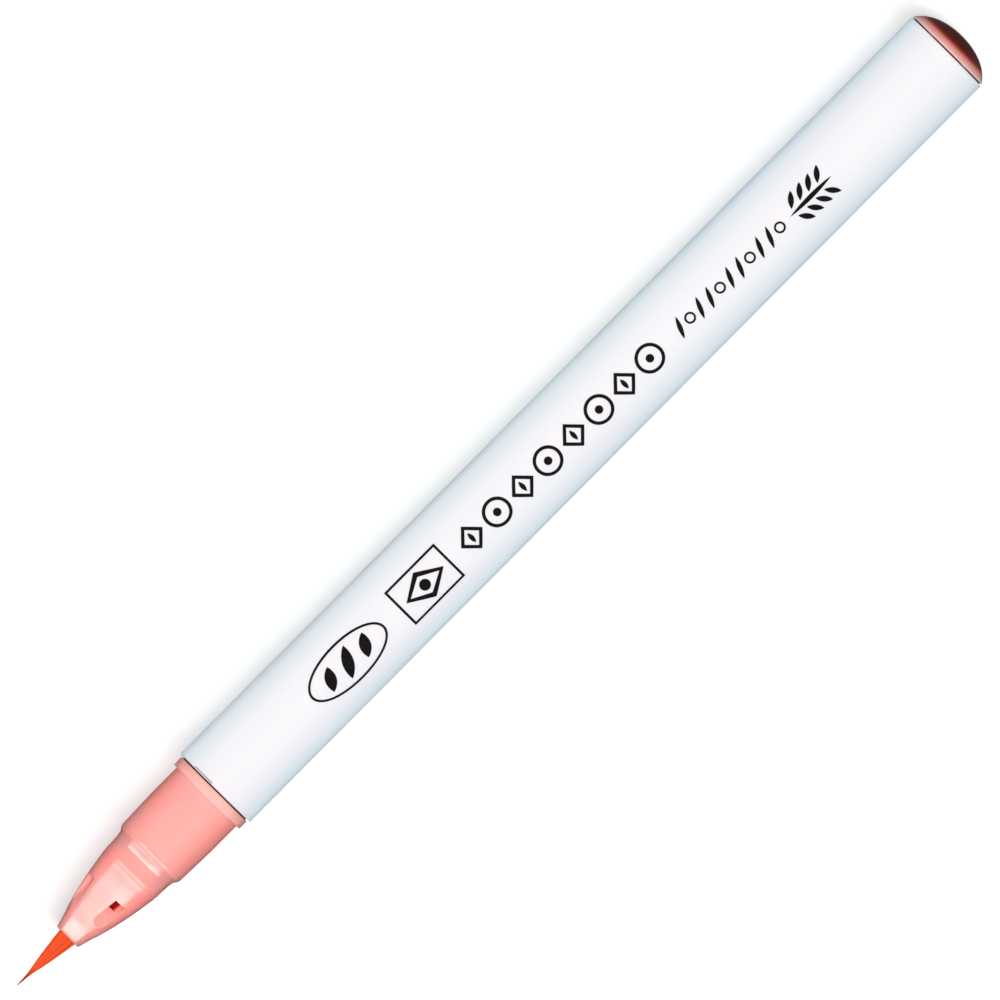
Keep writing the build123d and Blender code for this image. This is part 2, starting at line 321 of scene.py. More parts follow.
def white_plastic():
    """Barrel: satin white moulded plastic with a faint cool cast and the mildest flow mottling, and painted shade in
    the notch's crease and on the rim face at the front.
    """
    material, shader = new_material("satin_white_barrel_plastic")
    flow = noise(material, object_point(material, (0.25, 1, 1)), 260.0)
    colour = ramp(material, flow, (0.3, (0.785, 0.790, 0.805)), (0.7, (0.800, 0.805, 0.820)))
    x = along_pen(material)
    # Painted shade: grey wherever the surface lies about 0.13 mm or more below the barrel's skin near its front,
    # which darkens the crease behind the notch and the lower part of the rim face that meets the nose.
    low = between(material, axis_distance(material), (BARREL_R - 0.14) * MM, (BARREL_R - 0.12) * MM, 1.0, 0.0)
    front = between(material, x, (BARREL_FRONT + 0.5) * MM, (BARREL_FRONT + 0.6) * MM, 1.0, 0.0)
    colour = tinted(material, colour, worked_out(material, "MULTIPLY", low, front), (0.22, 0.22, 0.24))
    link(material, colour, shader.inputs["Base Color"])
    link(material, between(material, flow, 0.3, 0.7, 0.46, 0.56), shader.inputs["Roughness"])
    shader.inputs["Specular IOR Level"].default_value = 0.35
    shader.inputs["Subsurface Weight"].default_value = 0.25
    shader.inputs["Subsurface Radius"].default_value = (1.0, 0.95, 0.9)
    shader.inputs["Subsurface Scale"].default_value = 0.0008
    bump(material, shader, noise(material, object_point(material), 1800.0), 0.06, 0.00002)
    return material


def polish(material, x):
    """Roughness along the nose: mirror-like land and flare, soft cone and neck, satin grip."""
    length = BARREL_FRONT - MOUTH
    where = between(material, x, MOUTH * MM, BARREL_FRONT * MM)

    def at(station):
        return (station - MOUTH) / length

    stops = (
        (0.0, 0.07),
        (at(LAND_REAR - 0.02), 0.07),
        (at(LAND_REAR + 0.02), 0.24),
        (at(CONE_REAR - 2.5), 0.20),
        (at(CONE_REAR - 0.30), 0.15),
        (at(GRIP_FRONT + 0.05), 0.14),
        (at(GRIP_FRONT + 0.30), 0.36),
        (1.0, 0.42),
    )
    return ramp(material, where, *[(position, (rough,) * 3) for position, rough in stops])


def slot_depth(material, x):
    """How far a point lies below the cone's skin. The pink turns redder on the slot floors, where the soaked root
    shows through the thin plastic, and painted shade darkens it the deeper a point lies, down to dark red on the
    window walls.
    """
    rise = (CONE_REAR_R - CONE_FRONT_R) / (CONE_REAR - LAND_REAR)
    skin = worked_out(material, "MULTIPLY_ADD", x, rise, (CONE_FRONT_R - rise * LAND_REAR) * MM)
    depth = worked_out(material, "SUBTRACT", skin, axis_distance(material))
    in_cone = between(material, x, (SLOT_REAR + 0.3) * MM, (SLOT_REAR + 0.6) * MM, 1.0, 0.0)
    return worked_out(material, "MULTIPLY", depth, in_cone)


def pink_plastic():
    """Nose: milky translucent pink, polished on the cone and land, satin on the grip."""
    material, shader = new_material("milky_pink_nose_plastic")
    x = along_pen(material)
    flow = noise(material, object_point(material, (0.3, 1, 1)), 420.0)
    colour = ramp(material, flow, (0.3, (0.935, 0.360, 0.335)), (0.7, (0.955, 0.385, 0.360)))
    # Partly the root's own red seen through the thin slot floors, partly painted shade: the deeper a point lies in a
    # slot or window, the darker red it is painted.
    depth = slot_depth(material, x)
    colour = tinted(material, colour, between(material, depth, 0.22 * MM, 0.60 * MM), (0.87, 0.230, 0.190))
    colour = tinted(material, colour, between(material, depth, 0.75 * MM, 0.95 * MM), (0.50, 0.010, 0.008))
    # Painted light: the collar is painted a paler pink than the rest of the nose, as if it caught more light.
    collar = between(material, x, (COLLAR_FRONT - 0.02) * MM, (COLLAR_FRONT + 0.02) * MM)
    colour = tinted(material, colour, collar, (0.96, 0.450, 0.420))
    # Painted shade: the narrow gap between the collar and the barrel's rim is painted near black, where shade would
    # fall.
    joint_shade = between(material, x, (COLLAR_REAR + 0.05) * MM, (COLLAR_REAR + 0.065) * MM)
    colour = tinted(material, colour, joint_shade, (0.12, 0.012, 0.012))
    link(material, colour, shader.inputs["Base Color"])
    link(material, polish(material, x), shader.inputs["Roughness"])
    shader.inputs["Subsurface Weight"].default_value = 0.9
    shader.inputs["Subsurface Radius"].default_value = (1.0, 0.25, 0.20)
    shader.inputs["Subsurface Scale"].default_value = 0.0020
    shader.inputs["IOR"].default_value = 1.50
    bump(material, shader, noise(material, object_point(material), 2200.0), 0.05, 0.00002)
    return material


def plug_plastic():
    """Tail plug: the same pink, thick and glossy; it runs from pale near the rim to dark red at the crown, partly the
    thick plastic's deeper colour and partly painted shade, with painted shade in the gap at the barrel's end.
    """
    material, shader = new_material("deep_red_plug_plastic")
    rise = between(material, along_pen(material), (BARREL_REAR + 0.1) * MM, APEX * MM)
    # Painted shade: the first stop darkens the gap between barrel and dome; past the pale rim the colour deepens
    # towards the crown, partly from the thick plastic and partly as painted shade where the dome turns away from the
    # light.
    colour = ramp(
        material,
        rise,
        (0.008, (0.10, 0.012, 0.010)),
        (0.014, (0.95, 0.64, 0.60)),
        (0.235, (0.85, 0.37, 0.33)),
        (0.330, (0.80, 0.25, 0.20)),
        (0.420, (0.44, 0.070, 0.040)),
        (0.510, (0.22, 0.020, 0.010)),
        (0.620, (0.15, 0.012, 0.010)),
        (1.0, (0.085, 0.020, 0.020)),
    )
    link(material, colour, shader.inputs["Base Color"])
    haze = noise(material, object_point(material), 700.0)
    link(material, between(material, haze, 0.3, 0.7, 0.16, 0.24), shader.inputs["Roughness"])
    shader.inputs["Subsurface Weight"].default_value = 0.2
    shader.inputs["Subsurface Radius"].default_value = (1.0, 0.3, 0.25)
    shader.inputs["Subsurface Scale"].default_value = 0.0003
    shader.inputs["Specular IOR Level"].default_value = 0.3
    return material


def bristle_nylon():
    """Bristles: bright orange-red wet nylon, each hair a little different, darker at the gathered point."""
    material, shader = new_material("wet_orange_bristle_nylon")
    tone = add(material, "ShaderNodeAttribute", attribute_name="hair_tone")
    reach = add(material, "ShaderNodeAttribute", attribute_name="hair_reach")
    body = ramp(
        material,
        tone.outputs["Fac"],
        (0.0, (0.62, 0.044, 0.006)),
        (0.5, (0.80, 0.077, 0.011)),
        (1.0, (0.89, 0.105, 0.018)),
    )
    gather = ramp(
        material,
        between(material, reach.outputs["Fac"], 4.6, 7.0),
        (0.0, (1.0, 1.0, 1.0)),
        (0.50, (0.55, 0.45, 0.45)),
        (1.0, (0.22, 0.25, 0.35)),
    )
    mix = add(material, "ShaderNodeMix", data_type="RGBA", blend_type="MULTIPLY")
    mix.inputs["Factor"].default_value = 1.0
    link(material, body, mix.inputs["A"])
    link(material, gather, mix.inputs["B"])
    link(material, mix.outputs["Result"], shader.inputs["Base Color"])
    shader.inputs["Roughness"].default_value = 0.38
    shader.inputs["Specular IOR Level"].default_value = 0.1
    shader.inputs["Subsurface Weight"].default_value = 0.15
    shader.inputs["Subsurface Radius"].default_value = (1.0, 0.25, 0.1)
    shader.inputs["Subsurface Scale"].default_value = 0.0003
    return material


def soaked_root():
    """Root of the bristles: fused and soaked, dark red with lighter hair streaks along it."""
    material, shader = new_material("soaked_root_nylon")
    streaks = noise(material, object_point(material, (0.12, 1, 1)), 5200.0, 4.0)
    colour = ramp(material, streaks, (0.35, (0.20, 0.001, 0.001)), (0.55, (0.42, 0.004, 0.003)),
                  (0.75, (0.80, 0.060, 0.040)))
    link(material, colour, shader.inputs["Base Color"])
    link(material, between(material, streaks, 0.3, 0.7, 0.30, 0.50), shader.inputs["Roughness"])
    shader.inputs["Specular IOR Level"].default_value = 0.15
    bump(material, shader, streaks, 0.4, 0.00004)
    return material


def fibre(name, dark, light, scale):
    """Bonded fibre soaked with ink: fine strands along the pen."""
    material, shader = new_material(name)
    strands = noise(material, object_point(material, (0.08, 1, 1)), scale, 5.0)
    link(material, ramp(material, strands, (0.3, dark), (0.7, light)), shader.inputs["Base Color"])
    shader.inputs["Roughness"].default_value = 0.8
    bump(material, shader, strands, 0.5, 0.00005)
    return material


def wrap_film():
    """Thin clear film round the wad, faintly wrinkled."""
    material, shader = new_material("clear_wrap_film")
    wrinkle = noise(material, object_point(material, (0.4, 1, 1)), 600.0)
    link(material, ramp(material, wrinkle, (0.3, (0.86, 0.87, 0.88)), (0.7, (0.95, 0.95, 0.95))),
         shader.inputs["Base Color"])
    link(material, between(material, wrinkle, 0.3, 0.7, 0.10, 0.20), shader.inputs["Roughness"])
    shader.inputs["Transmission Weight"].default_value = 0.6
    bump(material, shader, wrinkle, 0.3, 0.00005)
    return material


def sleeve_plastic():
    """Sleeve and retainer: natural white moulded plastic."""
    material, shader = new_material("natural_sleeve_plastic")
    flow = noise(material, object_point(material), 500.0)
    link(material, ramp(material, flow, (0.3, (0.80, 0.80, 0.77)), (0.7, (0.86, 0.86, 0.84))),
         shader.inputs["Base Color"])
    link(material, between(material, flow, 0.3, 0.7, 0.38, 0.48), shader.inputs["Roughness"])
    return material


def print_ink():
    """Black pad-printed ink: thin, dense and slightly uneven."""
    material, shader = new_material("black_print_ink")
    lay = noise(material, object_point(material), 1500.0)
    link(material, ramp(material, lay, (0.3, (0.006, 0.006, 0.008)), (0.7, (0.014, 0.014, 0.017))),
         shader.inputs["Base Color"])
    link(material, between(material, lay, 0.3, 0.7, 0.40, 0.55), shader.inputs["Roughness"])
    bump(material, shader, lay, 0.1, 0.00001)
    return material


def floor_paper():
    """Studio sweep: plain white paper with the faintest tooth."""
    material, shader = new_material("white_studio_paper")
    tooth = noise(material, object_point(material), 400.0)
    link(material, ramp(material, tooth, (0.3, (0.93, 0.93, 0.93)), (0.7, (0.95, 0.95, 0.95))),
         shader.inputs["Base Color"])
    shader.inputs["Roughness"].default_value = 0.9
    shader.inputs["Specular IOR Level"].default_value = 0.0
    return material


WHITE = white_plastic()
PINK = pink_plastic()
PLUG = plug_plastic()
NYLON = bristle_nylon()
INK = print_ink()


# ======== barrel ========
EDGE_SOFTNESS = 0.06
NOTCH_ANGLE = 67.5
NOTCH_WIDTH = 2.76
NOTCH_LENGTH = 0.31
NOTCH_DEPTH = 0.10
JOINT_FRONT = BARREL_FRONT + 0.14
JOINT_REAR = BARREL_REAR - 0.04
SKIN_R = BARREL_R - 0.008
PRINT_R = BARREL_R - 0.001
RIB_COUNT = 6
RIB_HEIGHT = 0.35
RIB_FRONT = SPIGOT_REAR + 1.5
RIB_REAR = PLUG_FRONT - 1.5


def carve(piece, cutters):
    """Subtracts the cutter objects from a piece, bakes the result into its mesh and removes the cutters."""
    for cutter in cutters:
        cut = piece.modifiers.new("cut", "BOOLEAN")
        cut.operation = "DIFFERENCE"
        cut.solver = "EXACT"
        cut.object = cutter
    graph = bpy.context.evaluated_depsgraph_get()
    mesh = bpy.data.meshes.new_from_object(piece.evaluated_get(graph))
    piece.modifiers.clear()
    piece.data = mesh
    for cutter in cutters:
        bpy.data.objects.remove(cutter)


def sharpen(piece, low_x, high_x, degrees):
    """Marks the edges between two stations sharp where the faces turn by more than the angle."""
    bm = bmesh.new()
    bm.from_mesh(piece.data)
    for edge in bm.edges:
        inside = all(low_x < v.co.x / MM < high_x for v in edge.verts)
        if inside and len(edge.link_faces) == 2:
            edge.smooth = edge.calc_face_angle() < math.radians(degrees)
    bm.to_mesh(piece.data)
    bm.free()


def crisp_rings(piece, *stations):
    """Marks every edge that runs round the pen at these stations sharp."""
    bm = bmesh.new()
    bm.from_mesh(piece.data)
    for edge in bm.edges:
        if any(all(abs(v.co.x / MM - x) < 0.006 for v in edge.verts) for x in stations):
            edge.smooth = False
    bm.to_mesh(piece.data)
    bm.free()


def block(name, low, high, angle, bent=False):
    """A box cutter between two corners (along, across, out), turned about the pen's axis or bent round it."""
    bm = bmesh.new()
    bmesh.ops.create_cube(bm, size=1.0)
    bmesh.ops.scale(bm, vec=[h - l for l, h in zip(low, high)], verts=bm.verts)
    bmesh.ops.translate(bm, vec=[(h + l) / 2 for l, h in zip(low, high)], verts=bm.verts)
    if bent:
        across = [e for e in bm.edges if abs(e.verts[0].co.y - e.verts[1].co.y) > 1e-6]
        bmesh.ops.subdivide_edges(bm, edges=across, cuts=11, use_grid_fill=True)
        for vert in bm.verts:
            out, around = vert.co.z, vert.co.y / BARREL_R
            vert.co.y, vert.co.z = out * math.sin(around), out * math.cos(around)
    bmesh.ops.rotate(bm, cent=(0, 0, 0), matrix=Matrix.Rotation(math.radians(angle - 90.0), 3, "X"),
                     verts=bm.verts)
    bmesh.ops.translate(bm, vec=(0, 0, AXIS_Z), verts=bm.verts)
    return finish_piece(name, bm, WHITE)


def make_barrel():
    """Barrel: a tube with snap grooves and ribs inside and a small notch in its front rim."""
    bm = bmesh.new()
    turn(
        bm,
        [
            (JOINT_FRONT + 0.2, BORE_R),
            (JOINT_FRONT, JOINT_FLOOR_R + 0.02),
            (JOINT_FRONT, SKIN_R - 0.2),
            (JOINT_FRONT, SKIN_R),
            (BARREL_FRONT + 0.8, SKIN_R),
            *[(x, SKIN_R) for x in steps_between(BARREL_FRONT + 2.0, BARREL_REAR - 2.0, 16)],
            (BARREL_REAR - 0.6, SKIN_R),
            (JOINT_REAR, SKIN_R),
            (JOINT_REAR, SKIN_R - 0.2),
            (JOINT_REAR, BORE_R),
            *reversed(snap_outline(SNAP_REAR, BORE_R, 0.12)),
            (RIB_REAR, BORE_R),
            (RIB_FRONT, BORE_R),
            *reversed(snap_outline(SNAP_FRONT, BORE_R, 0.12)),
        ],
    )
    soften(bm, rings(bm, (JOINT_FRONT, SKIN_R), (JOINT_REAR, SKIN_R)), EDGE_SOFTNESS, segments=3)
    half_rib = math.pi / TURN_STEPS * 1.5
    rib_faces = []
    for face in bm.faces:
        centre = face.calc_center_median()
        if RIB_FRONT < centre.x < RIB_REAR and radius_of(face.verts[0]) < BORE_R + 0.01:
            around = math.atan2(centre.y, centre.z - AXIS_Z) % (math.tau / RIB_COUNT)
            if min(around, math.tau / RIB_COUNT - around) < half_rib * 1.4:
                rib_faces.append(face)
    grown = bmesh.ops.extrude_face_region(bm, geom=rib_faces)["geom"]
    for vert in (g for g in grown if isinstance(g, bmesh.types.BMVert)):
        inward = Vector((0, -vert.co.y, AXIS_Z - vert.co.z)).normalized()
        vert.co += inward * RIB_HEIGHT
    bmesh.ops.delete(bm, geom=[f for f in rib_faces if f.is_valid], context="FACES_ONLY")
    piece = finish_piece("barrel_tube", bm, WHITE)
    notch = block(
        "notch",
        (BARREL_FRONT - 1.0, -NOTCH_WIDTH / 2, BARREL_R - NOTCH_DEPTH),
        (BARREL_FRONT + NOTCH_LENGTH, NOTCH_WIDTH / 2, BARREL_R + 1.0),
        NOTCH_ANGLE,
        bent=True,
    )
    crease = block(
        "crease",
        (BARREL_FRONT + NOTCH_LENGTH - 0.07, -NOTCH_WIDTH / 2, BARREL_R - NOTCH_DEPTH - 0.12),
        (BARREL_FRONT + NOTCH_LENGTH + 0.03, NOTCH_WIDTH / 2, BARREL_R + 1.0),
        NOTCH_ANGLE,
        bent=True,
    )
    carve(piece, [notch, crease])
    sharpen(piece, BARREL_FRONT - 0.1, BARREL_FRONT + NOTCH_LENGTH + 0.1, 25.0)
    return piece


barrel = make_barrel()
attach(barrel, "pen")
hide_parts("barrel")


# ======== print on the barrel ========
# Flat shapes are drawn along the barrel (u, from its front) and round it (v, towards +Y), then wrapped on.
PRINT_MIDDLE = -0.57
PRINT_BASE_R = BARREL_R - 0.016
STRIP = 0.3


def oval(u, v, half_u, half_v, count=40):
    """Points of an oval outline."""
    return [(u + half_u * math.cos(math.tau * k / count), v + half_v * math.sin(math.tau * k / count))
            for k in range(count)]


def ring_shape(u, v, half_u, half_v, stroke):
    """An oval line of one stroke's width."""
    return [oval(u, v, half_u, half_v), oval(u, v, half_u - stroke, half_v - stroke)]


def lozenge(u, v, half_u, half_v):
    """Corners of a lozenge."""
    return [(u - half_u, v), (u, v - half_v), (u + half_u, v), (u, v + half_v)]


def lozenge_shape(u, v, half_u, half_v, stroke):
    """A lozenge drawn with a line."""
    return [lozenge(u, v, half_u, half_v), lozenge(u, v, half_u - stroke * 1.5, half_v - stroke * 1.5)]


def frame_shape(u, v, half_u, half_v, stroke):
    """A rectangular frame of one stroke's width."""
    corners = ((-1, -1), (1, -1), (1, 1), (-1, 1))
    return [[(u + a * (half_u - cut), v + b * (half_v - cut)) for a, b in corners] for cut in (0.0, stroke)]


def leaf_shape(u, v, length, width, turn_degrees):
    """A stroke that swells in the middle and runs out at both ends."""
    reach = [(length * (t - 0.5), width / 2 * math.sin(math.pi * t) ** 0.8) for t in steps_between(0.0, 1.0, 14)]
    outline = reach + [(a, -b) for a, b in reversed(reach[1:-1])]
    c, s = math.cos(math.radians(turn_degrees)), math.sin(math.radians(turn_degrees))
    return [[(u + a * c - b * s, v + a * s + b * c) for a, b in outline]]


def print_shapes():
    """The printed line, front to rear: a badge, a framed sign, a wide frieze, a fine frieze and a sprig."""
    shapes = [ring_shape(18.9, 0.0, 5.3, 2.42, 0.27)]
    for k, length in enumerate((2.7, 3.6, 2.7)):
        shapes.append(leaf_shape(16.4 + 2.5 * k, 0.0, length, 1.25, 62.0))
    shapes.append(frame_shape(30.1, 0.0, 3.6, 2.42, 0.27))
    shapes.append(lozenge_shape(30.1, 0.0, 2.7, 1.75, 0.42))
    shapes.append([oval(30.1, 0.0, 0.62, 0.62, 20)])
    for k in range(8):
        u = 36.9 + 3.7 * k
        if k % 2:
            shapes.append(ring_shape(u, 0.0, 1.6, 1.6, 0.36))
            shapes.append([oval(u, 0.0, 0.45, 0.45, 16)])
        else:
            shapes.append(lozenge_shape(u, 0.0, 1.55, 1.6, 0.34))
            shapes.append(leaf_shape(u, 0.0, 1.3, 0.5, 90.0))
    for k in range(11):
        u = 67.2 + 1.45 * k
        if k % 3 == 1:
            shapes.append(ring_shape(u, 0.0, 0.62, 0.62, 0.22))
        else:
            shapes.append(leaf_shape(u, 0.0, 2.5, 0.50, 68.0))
    shapes.append(leaf_shape(86.2, 0.0, 6.0, 0.5, 0.0))
    for k in range(4):
        for side in (1, -1):
            shapes.append(leaf_shape(84.5 + 1.25 * k, side * 1.2, 1.9, 0.62, side * 50.0))
    return shapes


def flat_shape(outlines):
    """A filled flat mesh inside the first outline, with the others cut out of it."""
    curve = bpy.data.curves.new("mark_outline", "CURVE")
    curve.dimensions = "2D"
    curve.fill_mode = "BOTH"
    for outline in outlines:
        line = curve.splines.new("POLY")
        line.points.add(len(outline) - 1)
        for point, (u, v) in zip(line.points, outline):
            point.co = (u, v, 0.0, 1.0)
        line.use_cyclic_u = True
    holder = bpy.data.objects.new("mark_outline", curve)
    bpy.context.scene.collection.objects.link(holder)
    graph = bpy.context.evaluated_depsgraph_get()
    mesh = bpy.data.meshes.new_from_object(holder.evaluated_get(graph))
    bpy.data.objects.remove(holder)
    return mesh


def make_print():
    """The printed marks, wrapped onto the barrel in strips and given the ink's thickness."""
    bm = bmesh.new()
    for outlines in print_shapes():
        bm.from_mesh(flat_shape(outlines))
    bmesh.ops.remove_doubles(bm, verts=bm.verts, dist=WELD_DISTANCE)
    bmesh.ops.dissolve_degenerate(bm, edges=bm.edges, dist=WELD_DISTANCE)
    for step in range(-9, 10):
        bmesh.ops.bisect_plane(bm, geom=bm.verts[:] + bm.edges[:] + bm.faces[:], dist=1e-5,
                               plane_co=(0, STRIP * step + 0.02, 0), plane_no=(0, 1, 0))
    bmesh.ops.recalc_face_normals(bm, faces=bm.faces)
    for face in bm.faces:
        if face.normal.z < 0:
            face.normal_flip()
    grown = bmesh.ops.extrude_face_region(bm, geom=bm.faces[:], use_keep_orig=True)["geom"]
    tops = {g for g in grown if isinstance(g, bmesh.types.BMVert)}
    for vert in bm.verts:
        out = PRINT_R if vert in tops else PRINT_BASE_R
        around = (vert.co.y + PRINT_MIDDLE) / BARREL_R
        vert.co = (BARREL_FRONT + vert.co.x, out * math.sin(around), AXIS_Z + out * math.cos(around))
    bmesh.ops.recalc_face_normals(bm, faces=bm.faces)
    return finish_piece("barrel_print", bm, INK)


barrel_print = make_print()
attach(barrel_print, "pen")


# ======== tail plug ========
def curve_points(start, pull_start, pull_end, end, count):
    """Points along the cubic curve between two ends, each with its pull point."""
    points = []
    for t in steps_between(0.0, 1.0, count):
        a, b, c, d = (1 - t) ** 3, 3 * t * (1 - t) ** 2, 3 * t * t * (1 - t), t ** 3
        points.append(tuple(a * p + b * q + c * r + d * s
                            for p, q, r, s in zip(start, pull_start, pull_end, end)))
    return points


def make_plug():
    """Tail plug: a hollow spigot with a snap bead, a rim and a domed end."""
    base, rim_r = BARREL_REAR + 0.13, BARREL_R - 0.06
    lean, pull = math.radians(33.0), 1.6
    dome = curve_points(
        (base, rim_r),
        (base + pull * math.cos(lean), rim_r - pull * math.sin(lean)),
        (APEX, 2.3),
        (APEX, 0.0),
        28,
    )
    bm = bmesh.new()
    turn(
        bm,
        [
            (PLUG_FRONT, HOLLOW_R + 0.1),
            (PLUG_FRONT, SPIGOT_R - 0.25),
            (PLUG_FRONT + 0.25, SPIGOT_R),
            *snap_outline(SNAP_REAR, SPIGOT_R, 0.08),
            (BARREL_REAR - 0.1, SPIGOT_R),
            (BARREL_REAR + 0.01, BARREL_R - 0.28),
            (base, BARREL_R - 0.28),
            *dome,
        ],
        closed=False,
    )
    turn(
        bm,
        [
            (PLUG_FRONT, HOLLOW_R + 0.1),
            (BARREL_REAR, HOLLOW_R + 0.1),
            (APEX - 1.2, HOLLOW_R / 2),
            (APEX - 1.2, 0.0),
        ],
        closed=False,
    )
    bmesh.ops.remove_doubles(bm, verts=bm.verts, dist=WELD_DISTANCE)
    bmesh.ops.recalc_face_normals(bm, faces=bm.faces)
    soften(bm, rings(bm, (base, rim_r)), 0.05, segments=2)
    return finish_piece("tail_dome", bm, PLUG)


plug = make_plug()
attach(plug, "pen")
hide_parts("tail_plug")


# ======== nose ========
def make_nose():
    """Nose: mouth, bright land, bulged cone with four windowed slots, neck, grip, cap seat, collar and spigot."""
    cone = [(x, cone_r_at(x)) for x in steps_between(LAND_REAR, CONE_REAR, 26)]
    bm = bmesh.new()
    turn(
        bm,
        [
            (MOUTH, TUFT_BORE_R),
            (MOUTH, MOUTH_R),
            *[(x, MOUTH_R + (LAND_R - MOUTH_R) * (x - MOUTH) / LAND_LENGTH)
              for x in steps_between(MOUTH + 0.3, LAND_REAR, 5)],
            *[(x, r) for x, r in cone if x < CONE_REAR - 0.5],
            (CONE_REAR - 0.36, cone_r_at(CONE_REAR - 0.36)),
            (CONE_REAR - 0.08, CONE_REAR_R + 0.035),
            (CONE_REAR - 0.03, CONE_REAR_R - 0.020),
            (CONE_REAR + 0.03, CONE_REAR_R - 0.020),
            (CONE_REAR + 0.10, CONE_REAR_R - 0.005),
            (CONE_REAR + 0.40, CONE_REAR_R + 0.065),
            (CONE_REAR + 0.50, CONE_REAR_R + 0.050),
            (NECK_REAR - 0.8, NECK_R - 0.045),
            (NECK_REAR, NECK_R),
            (FLARE_REAR, FLARE_R),
            (STEP_REAR, STEP_R),
            (GRIP_FRONT, GRIP_R),
            (GRIP_FRONT + 0.5, GRIP_R + (SEAT_R - GRIP_R) * 0.5 / GRIP_LENGTH),
            *[(x, GRIP_R + (SEAT_R - GRIP_R) * (x - GRIP_FRONT) / GRIP_LENGTH)
              for x in steps_between(GRIP_FRONT + 1.0, SEAT_FRONT, 4)],
            (COLLAR_FRONT - 0.4, SEAT_R),
            (COLLAR_FRONT, SEAT_R),
            (COLLAR_FRONT, COLLAR_R),
            (COLLAR_REAR + 0.06, COLLAR_R),
            (COLLAR_REAR + 0.06, JOINT_FLOOR_R),
            (BARREL_FRONT + 0.20, JOINT_FLOOR_R),
            (BARREL_FRONT + 0.25, SPIGOT_R),
            *snap_outline(SNAP_FRONT, SPIGOT_R, 0.08),
            (SPIGOT_REAR - 0.25, SPIGOT_R),
            (SPIGOT_REAR, SPIGOT_R - 0.25),
            (SPIGOT_REAR, HOLLOW_R),
            (SLEEVE_SEAT, HOLLOW_R),
            (SLEEVE_SEAT, ROOT_POCKET_R),
            (ROOT_SEAT, ROOT_POCKET_R),
            (ROOT_SEAT, TUFT_BORE_R),
        ],
    )
    soften(bm, rings(bm, (MOUTH, MOUTH_R)), 0.12, segments=4)
    soften(bm, rings(bm, (MOUTH, TUFT_BORE_R)), 0.05, segments=2)
    soften(bm, rings(bm, (STEP_REAR, STEP_R), (GRIP_FRONT, GRIP_R)), 0.10, segments=3)
    soften(bm, rings(bm, (COLLAR_FRONT, COLLAR_R), (COLLAR_REAR + 0.06, COLLAR_R)), 0.08, segments=3)
    soften(bm, rings(bm, (FLARE_REAR, FLARE_R)), 0.03, segments=2)
    piece = finish_piece("nose_holder", bm, PINK)
    cutters = []
    for angle in SLOT_ANGLES:
        cutters.append(
            block("slot", (LAND_REAR, -SLOT_WIDTH / 2, SLOT_FLOOR_R), (SLOT_REAR, SLOT_WIDTH / 2, 4.0), angle)
        )
        cutters.append(
            block("window", (SLOT_REAR - WINDOW_LENGTH, -WINDOW_WIDTH / 2, 1.0),
                  (SLOT_REAR, WINDOW_WIDTH / 2, SLOT_FLOOR_R + 0.1), angle)
        )
    carve(piece, cutters)
    sharpen(piece, LAND_REAR + 0.01, SLOT_REAR + 0.05, 8.0)
    crisp_rings(piece, LAND_REAR, NECK_REAR, CONE_REAR - 0.08, CONE_REAR + 0.10, CONE_REAR + 0.40)
    return piece


nose = make_nose()
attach(nose, "pen")
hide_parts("nose")


# ======== bristles ========
# Distances "out" are measured from the mouth towards the point.
TUFT_BEHIND = -1.05
TUFT_LENGTH = 7.15
TUFT_R = 1.090
TUFT_OUTLINE = ((TUFT_BEHIND, TUFT_R), (0.0, TUFT_R), (1.0, 0.965), (2.0, 0.805), (3.0, 0.655), (4.0, 0.475),
                (5.0, 0.270), (5.5, 0.185), (6.0, 0.130), (6.5, 0.100), (TUFT_LENGTH, 0.050))
TUFT_LEAN = 0.024
SEAM_BEHIND_BELLY = 0.75
SEAM_BEHIND_POINT = 2.60
HAIR_R = 0.050
HAIR_SIDES = 6
HAIR_LAYERS = 3
CORE_DEPTH = 0.16
CORE_LENGTH = 6.0
CORE_TONE = 0.15
HAIR_END_R = 0.004


def tuft_r_at(out):
    """Radius of the whole tuft at a distance out of the mouth."""
    for (a, ra), (b, rb) in zip(TUFT_OUTLINE, TUFT_OUTLINE[1:]):
        if out <= b:
            return ra + (rb - ra) * (out - a) / (b - a)
    return TUFT_OUTLINE[-1][1]


def plan_hairs():
    """Where each hair lies round the tuft, how deep, how far it reaches and how light it is."""
    draw = random.Random(SEED)
    hairs = []
    for layer in range(HAIR_LAYERS):
        ring_r = TUFT_R - HAIR_R * (1 + 1.8 * layer)
        count = int(math.tau * ring_r / (2 * HAIR_R * 0.92))
        for k in range(count):
            hairs.append(
                {
                    "around": math.tau * (k + 0.5 * layer + draw.uniform(-0.18, 0.18)) / count,
                    "depth": ring_r / (TUFT_R - HAIR_R) * draw.uniform(0.975, 1.0),
                    "reach": draw.uniform(5.0, 6.9) if k % 9 else TUFT_LENGTH,
                    "sway": draw.uniform(-0.05, 0.05),
                    "tone": draw.random(),
                }
            )
    return hairs


def hair_place(hair, out):
    """Centre (across, up) and radius of a hair at a distance out."""
    tuft = tuft_r_at(out)
    radius = HAIR_R * tuft / TUFT_R
    left = (hair["reach"] - out) / 1.6
    radius = max(radius * min(1.0, max(left, 0.0)) ** 0.7, HAIR_END_R)
    lies = (tuft - radius) * hair["depth"]
    around = hair["around"] + hair["sway"] * out / 7.0
    return lies * math.cos(around) + TUFT_LEAN * max(out, 0.0), lies * math.sin(around), radius


